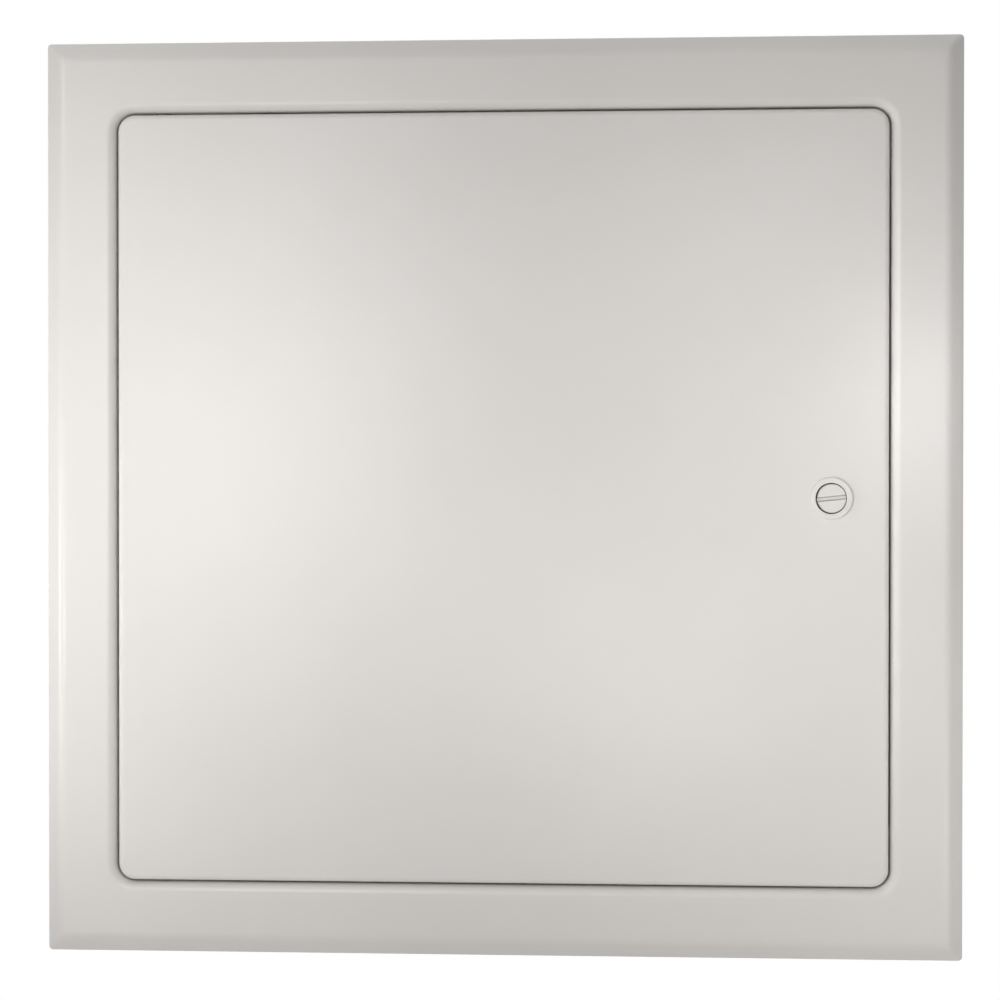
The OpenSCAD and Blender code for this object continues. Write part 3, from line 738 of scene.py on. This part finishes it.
def latch_ring(rows, heights, axes, steps=96, start=0, sweep=360):
    """Ring on the latch's axis, or an arc of it: a closed section of radii and heights, turned."""
    points = turned(rows, heights, latch_centre, axes, steps, start, sweep)
    return shell(points, close_rows=True, close_columns=sweep >= 360)


latch_coat = powder_coat("latch powder coat", (0.735, 0.711, 0.691), (0.756, 0.733, 0.713), 0.36, 0.30)
collar_section = section(
    (barrel_r, door_face), (collar_r, door_face),
    bend(collar_r - crown_r, collar_top - crown_r, crown_r, 0, 90, 15),
    bend(head_bore_r + bore_edge_r, collar_top - bore_edge_r, bore_edge_r, 90, 180, 9),
    (head_bore_r, collar_top - bore_edge_r - bend_flat),
    (head_bore_r, collar_top - bore_shade_depth), (head_bore_r, head_floor + raw_edge),
    (head_bore_r - raw_edge, head_floor), (shaft_bore_r, head_floor), (shaft_bore_r, barrel_rear),
    (barrel_r - barrel_end_in, barrel_rear), (barrel_r - barrel_chamfer, barrel_rear + barrel_end_rise),
)
thread_rows = np.arange(barrel_rear + 0.3 * MM, thread_front, 0.1 * MM)
thread_turn = np.linspace(0, 1, 96, endpoint=False)
thread_phase = (thread_rows[:, None] / thread_pitch - thread_turn[None, :]) % 1
thread_cut = np.clip(2.6 * np.abs(thread_phase - 0.5) - 0.15, 0, 1)
thread_fade = np.clip((thread_front - thread_rows) / thread_run_out, 0, 1)[:, None]
thread_start = np.clip(1 - (thread_rows - barrel_rear) / thread_lead_in, 0, 1)[:, None]
thread_r = barrel_r - np.maximum(thread_depth * thread_cut * thread_fade, barrel_chamfer * thread_start)
collar_r_rows, collar_h_rows = collar_section[:, :1], collar_section[:, 1:]
in_bore = (collar_r_rows > shaft_r + 1 * MM) & (collar_r_rows < head_bore_r + bore_edge_r + bend_flat)
in_bore = in_bore & (collar_h_rows > head_floor - bend_flat)
collar_rows = collar_r_rows - in_bore * bore_offset * np.cos(2 * np.pi * thread_turn)[None, :]
housing_r = np.concatenate([collar_rows, thread_r])
housing_h = np.concatenate([collar_section[:, 1], thread_rows])
rim_section = flat_ring(rim_in_r, barrel_r, rim_rear, barrel_rear + 0.1 * MM, rim_edge)
rim_shell = latch_ring(*rim_section, latch_axes, 73, rim_start, rim_sweep)
housing_mesh = shell_mesh(latch_ring(housing_r, housing_h, latch_axes), rim_shell)
collar = add_piece("latch_collar", housing_mesh, latch_coat, "door", "latch_housing")
# Near-black steel for the deep faces of the bore: bare where the coat doesn't reach, and darkened as painted
# shade in the gap round the head.
bore_shade_steel = dark_spring_steel("near black steel as painted bore shade", (0.028, 0.027, 0.026), (0.045, 0.043, 0.041))


def finish_faces(piece, material, chosen):
    """Gives the material to the piece's faces that chosen picks by their middles, from the latch's axis, and
    by their normals, both as rows of across, up and along."""
    faces = piece.data.polygons
    middles, normals = np.empty(3 * len(faces)), np.empty(3 * len(faces))
    faces.foreach_get("center", middles)
    faces.foreach_get("normal", normals)
    turn_to_latch = np.array(rotor_axes, float).T
    middles = (middles.reshape(-1, 3) - np.array(latch_centre)) @ turn_to_latch
    slots = np.empty(len(faces), np.int32)
    faces.foreach_get("material_index", slots)
    slots[chosen(middles, normals.reshape(-1, 3) @ turn_to_latch)] = len(piece.data.materials)
    piece.data.materials.append(material)
    faces.foreach_set("material_index", slots)


def bore_shade_faces(middles, normals):
    """Faces in the gap between the head and the collar's bore that lie deep, and round the head's seat: bare
    steel there, darkened to near black as painted shade.
    """
    out = np.hypot(middles[:, 0], middles[:, 1])
    in_gap = (out > head_r - 0.1 * MM) & (out < head_bore_r + 2 * bore_offset)
    at_seat = (out > shaft_r) & (np.abs(middles[:, 2] - head_floor) < 0.15 * MM)
    too_deep = (collar_top - middles[:, 2] > bore_shade_depth) & (middles[:, 2] > head_floor)
    return (in_gap & too_deep & (np.abs(normals[:, 2]) < 0.3)) | at_seat


# Painted shade: the collar's deep bore faces take the near-black steel.
finish_faces(collar, bore_shade_steel, bore_shade_faces)

# Toothed washer: a stamped steel ring with twelve teeth, zinc plated. It sits between the back of the
# door and the nut, and bites into both so that the latch can't turn in its hole.
tooth_r = 9.2 * MM
tooth_notch_r = 0.6 * MM
tooth_count = 12
tooth_edge = 0.1 * MM
tooth_low, tooth_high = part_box("latch_tooth_washer")
stamped_zinc = zinc_plate(
    "zinc plate on stampings", (0.47, 0.48, 0.50), (0.62, 0.63, 0.65), (0.58, 0.57, 0.54), 0.28, 0.46,
)
ring_steps = 240
tooth_angle = np.arange(ring_steps) * 2 * np.pi / ring_steps
from_notch = (tooth_angle + np.pi / tooth_count) % (2 * np.pi / tooth_count) - np.pi / tooth_count
notch_root = np.sqrt(np.maximum(tooth_notch_r**2 - (tooth_r * np.sin(from_notch)) ** 2, 0))
in_notch = np.abs(tooth_r * np.sin(from_notch)) < tooth_notch_r
tooth_rim = np.where(in_notch, tooth_r * np.cos(from_notch) - notch_root, tooth_r)
tooth_bore = np.full(ring_steps, barrel_r + barrel_fit)
tooth_section = flat_ring(tooth_bore, tooth_rim, -tooth_high.y, -tooth_low.y, tooth_edge)
tooth_mesh = shell_mesh(latch_ring(*tooth_section, latch_axes, ring_steps))
add_piece("tooth_washer_stamping", tooth_mesh, stamped_zinc, "door", "latch_tooth_washer")

# Barrel nut: a thin hexagon nut turned from bar, with both faces chamfered, zinc plated. It clamps the
# housing to the door from behind.
nut_low, nut_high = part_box("latch_nut")
nut_back, nut_front = -nut_high.y, -nut_low.y
nut_t = nut_front - nut_back
nut_flat_r = 9.5 * MM
nut_face_r = 9.15 * MM
nut_bore_r = barrel_r + 0.1 * MM
nut_chamfer = 0.5 * MM
nut_corner_t = 1.3 * MM
nut_slope = math.tan(math.radians(60))
turned_zinc = zinc_plate(
    "zinc plate on turned parts", (0.52, 0.53, 0.55), (0.67, 0.68, 0.70), (0.63, 0.62, 0.59), 0.22, 0.38,
)
hexagon_r = nut_flat_r / np.cos(tooth_angle % (np.pi / 3) - np.pi / 6)
nut_rise = np.concatenate([np.linspace(0, nut_corner_t, 14), np.linspace(nut_t - nut_corner_t, nut_t, 14)])
nut_depth = np.minimum(nut_rise, nut_t - nut_rise)
nut_side = np.minimum(hexagon_r[None, :], (nut_face_r + nut_depth * nut_slope)[:, None])
nut_bore = np.array([nut_bore_r + nut_chamfer, nut_bore_r, nut_bore_r, nut_bore_r + nut_chamfer])
nut_bore_rise = np.array([nut_t, nut_t - nut_chamfer, nut_chamfer, 0])
nut_rows = np.concatenate([nut_side, np.repeat(nut_bore[:, None], ring_steps, axis=1)])
nut_heights = nut_back + np.concatenate([nut_rise, nut_bore_rise])
nut_mesh = shell_mesh(latch_ring(nut_rows, nut_heights, latch_axes, ring_steps))
add_piece("barrel_nut", nut_mesh, turned_zinc, "door", "latch_nut")

# Latch rotor: the slotted head that a screwdriver turns, with its shaft and square end, made from one
# piece of steel and coated white. It lies sunk in the collar, with its slot left six degrees off level.
rotor_low, rotor_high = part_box("latch_rotor")
head_sink = 0.25 * MM
head_top = -rotor_low.y - head_sink
drive_end = -rotor_high.y
head_edge_r = 0.45 * MM
slot_w = 1.7 * MM
slot_floor_w = 0.95 * MM
slot_depth = 0.8 * MM
lead_in_depth = 0.12 * MM
lead_in_flare = 0.44 * MM
drive_half = 2.4 * MM
drive_corner_r = 3.3 * MM
head_seat = head_floor + 0.1 * MM
rotor_section = section(
    (0.5 * MM, head_top), (head_r - head_edge_r - 0.1 * MM, head_top),
    bend(head_r - head_edge_r, head_top - head_edge_r, head_edge_r, 90, 0, 9),
    (head_r, head_seat), (shaft_r, head_seat), (shaft_r, barrel_rear),
)
square_steps = 96
square_angle = np.arange(square_steps) * 2 * np.pi / square_steps
square_r = drive_half / np.maximum(np.abs(np.cos(square_angle)), np.abs(np.sin(square_angle)))
square_r = np.minimum(square_r, drive_corner_r)
rotor_rows = np.concatenate([
    np.repeat(rotor_section[:, :1], square_steps, axis=1),
    np.stack([square_r, square_r, square_r - raw_edge]),
])
rotor_heights = np.concatenate([rotor_section[:, 1], [barrel_rear, drive_end + raw_edge, drive_end]])
rotor_mesh = shell_mesh(shell(turned(rotor_rows, rotor_heights, latch_centre, rotor_axes)))


def straight_cut(length, width, low, high, axes, flare=0.0):
    """Box on the latch's axis, length by width and from low to high, wider by flare at its top."""
    reach = np.array([[-1, -1], [1, -1], [1, 1], [-1, 1]]) * 0.5
    across, up, along = (np.array(axis) for axis in axes)
    ring = np.array([[width, low], [width + flare, high]])
    rows = [
        np.array(latch_centre) + reach[:, :1] * length * across + reach[:, 1:] * wide * up + level * along
        for wide, level in ring
    ]
    return shell(np.array(rows))


slot_flare = 2 * (slot_w - slot_floor_w)
slot_length = 4 * head_r
slot_cut = straight_cut(
    slot_length, slot_floor_w, head_top - slot_depth, head_top + slot_depth, rotor_axes, slot_flare,
)
slot_lead_in = straight_cut(
    slot_length, slot_w - 0.1 * MM, head_top - lead_in_depth, head_top + lead_in_depth, rotor_axes,
    lead_in_flare,
)
rotor_mesh = cut_away(cut_away(rotor_mesh, slot_cut), slot_lead_in)
rotor = add_piece("slotted_rotor", rotor_mesh, latch_coat, "latch", "latch_rotor")
# A darker copy of the latch coat: painted shade for the slot's walls, which show as two dark lines.
slot_shade_coat = powder_coat("latch coat darkened as painted slot shade", (0.40, 0.385, 0.37), (0.45, 0.435, 0.42), 0.5, 0.42)


def slot_walls(middles, normals):
    """Faces of the slot's two long walls, which take a darker coat as painted shade along the slot's edges.
    """
    in_slot = (np.abs(middles[:, 1]) < slot_w) & (middles[:, 2] > head_top - slot_depth - 0.1 * MM)
    return in_slot & (np.abs(normals[:, 1]) > 0.7)


# Painted shade: the rotor's deep faces in the gap take the near-black steel too.
finish_faces(rotor, bore_shade_steel, bore_shade_faces)
# Painted shade on the slot's two long walls.
finish_faces(rotor, slot_shade_coat, slot_walls)

# Spring washer: a dished ring of blackened spring steel between the barrel's end and the cam. It
# presses the cam back and holds the latch by friction wherever it is left.
spring_low, spring_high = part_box("latch_spring_washer")
spring_r = (spring_high.x - spring_low.x) / 2
spring_t = 0.4 * MM
spring_bore_r = drive_half * math.sqrt(2) + 0.1 * MM
spring_back, spring_front = -spring_high.y, -spring_low.y
spring_rise = np.linspace(0, 1, 9)
spring_out = spring_bore_r + (spring_r - spring_bore_r) * spring_rise
spring_lift = (spring_front - spring_t - spring_back) * np.sin(spring_rise * np.pi / 2) + spring_back
spring_rows = np.concatenate([spring_out, spring_out[::-1]])
spring_heights = np.concatenate([spring_lift, spring_lift[::-1] + spring_t])
spring_mesh = shell_mesh(latch_ring(spring_rows, spring_heights, rotor_axes))
add_piece("dished_washer", spring_mesh, oxide_steel, "latch", "latch_spring_washer")

# Cam: a flat arm stamped from 2 mm steel and zinc plated, with a square hole that the rotor drives and a
# lug that stops against the barrel's rim. It hangs down when open and swings behind the strike.
cam_w = 12 * MM
cam_hub_r = 8 * MM
cam_reach = 18.9 * MM
cam_edge = 0.35 * MM
hole_edge = 0.1 * MM
cam_hole_half = drive_half + 0.05 * MM
lug_gap = 0.15 * MM
lug_edge = 0.1 * MM
lug_start, lug_sweep = 75, 30
cam_steps = 360
cam_angle = np.arange(cam_steps) * 2 * np.pi / cam_steps
from_arm = (cam_angle + np.pi / 2 + np.pi) % (2 * np.pi) - np.pi
tip_at = cam_reach - cam_w / 2
tip_span = np.sqrt(np.maximum((cam_w / 2) ** 2 - (tip_at * np.sin(from_arm)) ** 2, 0))
arm_side = cam_w / 2 / np.maximum(np.abs(np.sin(from_arm)), 1e-6)
arm_r = np.where(arm_side * np.cos(from_arm) > tip_at, tip_at * np.cos(from_arm) + tip_span, arm_side)
arm_r = np.where(np.cos(from_arm) > 0, arm_r, 0)
cam_rim = np.maximum(cam_hub_r, arm_r)
cam_hole = cam_hole_half / np.maximum(np.abs(np.cos(cam_angle)), np.abs(np.sin(cam_angle)))
round_over = np.radians(np.linspace(0, 90, 6))
shrink = cam_edge * (1 - np.cos(round_over))
drop = cam_edge * (1 - np.sin(round_over))
cam_rows = np.concatenate([
    [cam_hole + hole_edge], cam_rim - shrink[::-1, None], cam_rim - shrink[:, None],
    [cam_hole + hole_edge, cam_hole, cam_hole],
])
cam_heights = np.concatenate([
    [cam_rear], cam_rear + drop[::-1], cam_front - drop,
    [cam_front, cam_front - hole_edge, cam_rear + hole_edge],
])
lug_section = flat_ring(rim_in_r + lug_gap, barrel_r - lug_gap, cam_rear + cam_t / 2, -cam_low.y, lug_edge)
lug_shell = latch_ring(*lug_section, rotor_axes, 13, lug_start, lug_sweep)
cam_mesh = shell_mesh(latch_ring(cam_rows, cam_heights, rotor_axes, cam_steps), lug_shell)
add_piece("cam_arm", cam_mesh, stamped_zinc, "latch", "latch_cam")

# Cam washer: a plain stamped washer, zinc plated, that spreads the screw's hold over the square hole.
cam_washer_low, cam_washer_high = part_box("cam_washer")
cam_washer_r = (cam_washer_high.x - cam_washer_low.x) / 2
cam_washer_bore_r = 1.6 * MM
cam_washer_edge = 0.12 * MM
cam_washer_section = flat_ring(
    cam_washer_bore_r, cam_washer_r, -cam_washer_high.y, -cam_washer_low.y, cam_washer_edge,
)
cam_washer_mesh = shell_mesh(latch_ring(*cam_washer_section, rotor_axes))
add_piece("cam_washer_stamping", cam_washer_mesh, stamped_zinc, "latch", "cam_washer")

# Cam screw: a zinc plated pan-head machine screw with a cross recess, driven into the rotor's end from
# behind the door.
screw_low, screw_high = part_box("cam_screw")
screw_head_r = 3 * MM
screw_head_top = -screw_high.y
screw_seat = -cam_washer_high.y
screw_r = 1.5 * MM
screw_tip = -screw_low.y
screw_point = 0.3 * MM
screw_dome = 0.25 * MM
shoulder_r = 0.75 * MM
head_break = 0.05 * MM
recess_length = 3.6 * MM
recess_w = 0.75 * MM
recess_depth = 1.2 * MM
recess_flare = 0.3 * MM
dome_rise = np.linspace(0.08, 1, 9)
pan_head = section(
    np.stack([dome_rise * (screw_head_r - 0.7 * MM), screw_head_top + screw_dome * dome_rise**2], axis=1),
    bend(screw_head_r - shoulder_r, screw_head_top + screw_dome + shoulder_r, shoulder_r, -84, 0, 11),
    (screw_head_r, screw_seat - head_break), (screw_head_r - head_break, screw_seat),
    (screw_r, screw_seat), (screw_r, screw_tip - screw_point), (screw_r - screw_point, screw_tip),
    (screw_point, screw_tip),
)
screw_mesh = shell_mesh(shell(turned(*pan_head.T, latch_centre, rotor_axes)))
rearward = (0, 1, 0)
recess_floor = -screw_head_top - recess_depth
recess_top = -screw_head_top + 1 * MM
for across, up in (rotor_axes[:2], rotor_axes[1::-1]):
    recess_axes = (across, up, rearward)
    recess = straight_cut(recess_length, recess_w, recess_floor, recess_top, recess_axes, recess_flare)
    screw_mesh = cut_away(screw_mesh, recess)
add_piece("pan_head_screw", screw_mesh, turned_zinc, "latch", "cam_screw")

# Studio: a plain pale floor well below the panel, and a soft tent of light above, below and behind it.
# The camera and mirror-like rays see plain white. Soft lamps stand close in front, most of them to the left.
floor_drop = 0.26
floor_half_w = 1.6
floor_front = -2.2
floor_back = 0.85
floor_z = flange_low.z - floor_drop
floor_points = [
    [-floor_half_w, floor_front, floor_z], [floor_half_w, floor_front, floor_z],
    [floor_half_w, floor_back, floor_z], [-floor_half_w, floor_back, floor_z],
]
floor_mesh = bpy.data.meshes.new("studio_floor")
floor_mesh.from_pydata(floor_points, [], [[0, 1, 2, 3]])
floor = bpy.data.objects.new("studio_floor", floor_mesh)
scene_objects.link(floor)
floor_paint, _, floor_shader, _ = bare_finish("pale floor")
floor_shader.inputs["Base Color"].default_value = (0.80, 0.80, 0.79, 1)
floor_shader.inputs["Roughness"].default_value = 0.7
floor_mesh.materials.append(floor_paint)


def add_sum(tree, operation, *values):
    """One arithmetic node, with numbers or linked outputs for its inputs in their order."""
    made = tree.nodes.new("ShaderNodeMath")
    made.operation = operation
    for socket, value in zip(made.inputs, values):
        feed(tree, socket, value)
    return made.outputs["Value"]


world = bpy.data.worlds.new("studio surround")
bpy.context.scene.world = world
world.use_nodes = True
surround = world.node_tree
surround.nodes.clear()
direction = surround.nodes.new("ShaderNodeTexCoord").outputs["Generated"]
facing = add_node(surround, "ShaderNodeSeparateXYZ", Vector=direction)
end_light = 1.29
rear_light = 0.95
above_below = add_sum(surround, "POWER", facing.outputs["Z"], 4.0)
behind = add_sum(surround, "MAXIMUM", facing.outputs["Y"], 0.0)
tent = add_sum(surround, "MULTIPLY", above_below, end_light)
tent = add_sum(surround, "MULTIPLY_ADD", behind, rear_light, tent)
lamp_tint = (1.0, 0.995, 0.985)
soft_fill = add_node(surround, "ShaderNodeBackground", Color=(*lamp_tint, 1), Strength=tent)
white_back = add_node(surround, "ShaderNodeBackground", Color=(1, 1, 1, 1), Strength=1.0)
ray = surround.nodes.new("ShaderNodeLightPath")
seen = add_sum(surround, "MAXIMUM", ray.outputs["Is Camera Ray"], ray.outputs["Is Transmission Ray"])
shown = add_sum(surround, "MAXIMUM", seen, ray.outputs["Is Glossy Ray"])
surround_mix = add_node(surround, "ShaderNodeMixShader", Fac=shown)
surround.links.new(soft_fill.outputs["Background"], surround_mix.inputs[1])
surround.links.new(white_back.outputs["Background"], surround_mix.inputs[2])
add_node(surround, "ShaderNodeOutputWorld", Surface=surround_mix.outputs["Shader"])


def soft_lamp(name, place, aim, width, spread, watts):
    """Square soft lamp at place, turned to shine at aim, with a grid that narrows its spread in degrees."""
    lamp = bpy.data.lights.new(name, "AREA")
    lamp.spread = math.radians(spread)
    lamp.shape = "RECTANGLE"
    lamp.size = width
    lamp.size_y = width
    lamp.energy = watts
    lamp.color = lamp_tint
    holder = bpy.data.objects.new(name, lamp)
    scene_objects.link(holder)
    shine = Vector(aim) - Vector(place)
    holder.matrix_world = Matrix.Translation(place) @ shine.to_track_quat("-Z", "Y").to_matrix().to_4x4()


lamps = {
    "lamp_key": ((-0.2, -0.7, 0.14), (0.08, 0, -0.056), 0.24, 150, 0.558),
    "lamp_left_low": ((-0.28, -0.5, -0.28), (-0.1, 0, -0.11), 0.1, 40, 0.006),
    "lamp_left_foot": ((-0.42, -0.62, -0.27), (-0.122, 0, -0.088), 0.1, 18, 0.0042),
    "lamp_left_edge": ((-0.675, -0.84, -0.09), (-0.225, 0, -0.03), 0.16, 20, 0.044),
    "lamp_left_corner": ((-0.675, -0.84, 0.39), (-0.225, 0, 0.13), 0.16, 20, 0.0356),
    "lamp_far_left": ((-1.446, -0.576, -0.127), (0.12, 0, 0.024), 0.2, 22, 0.1045),
    "lamp_front": ((-0.15, -0.38, 0.02), (-0.075, 0, 0.01), 0.14, 150, 0.2),
    "lamp_front_low": ((0.02, -0.42, -0.1), (0.12, 0, -0.06), 0.1, 45, 0.02),
    "lamp_above": ((0.12, -0.28, 0.44), (-0.042, 0, -0.154), 0.14, 150, 0.054),
    "lamp_right": ((0.24, -0.28, 0.02), (0.12, 0, 0.01), 0.14, 150, 0.05),
    "lamp_right_low": ((0.3, -0.18, -0.16), (0.15, 0, -0.08), 0.12, 150, 0.08),
    "lamp_right_corner": ((-0.1, -0.5, 0.12), (0.15, 0, 0.08), 0.1, 28, 0.0134),
    "lamp_right_edge": ((-0.05, -0.4, 0.04), (0.175, 0, 0.04), 0.05, 13, 0.0024),
}
for lamp_name, lamp_values in lamps.items():
    soft_lamp(lamp_name, *lamp_values)

# Camera: set back from the panel's face as the photograph was taken, a little right of the middle and
# turned back towards it, with a long lens.
frame_pixels = 1000
focal_pixels = 2000
camera_place = Vector((40.43, -776.55, 5.91)) * MM
camera_yaw = math.radians(2.997)
camera_pitch = math.radians(-0.491)
camera_roll = math.radians(0.02)
camera_turn = (
    Matrix.Rotation(camera_yaw, 4, "Z")
    @ Matrix.Rotation(math.pi / 2 + camera_pitch, 4, "X")
    @ Matrix.Rotation(camera_roll, 4, "Z")
)
lens = bpy.data.cameras.new("camera")
lens.sensor_fit = "HORIZONTAL"
lens.sensor_width = 36
lens.lens = lens.sensor_width * focal_pixels / frame_pixels
camera = bpy.data.objects.new("camera", lens)
scene_objects.link(camera)
camera.matrix_world = Matrix.Translation(camera_place) @ camera_turn
bpy.context.scene.camera = camera
bpy.context.scene.view_settings.view_transform = "Standard"
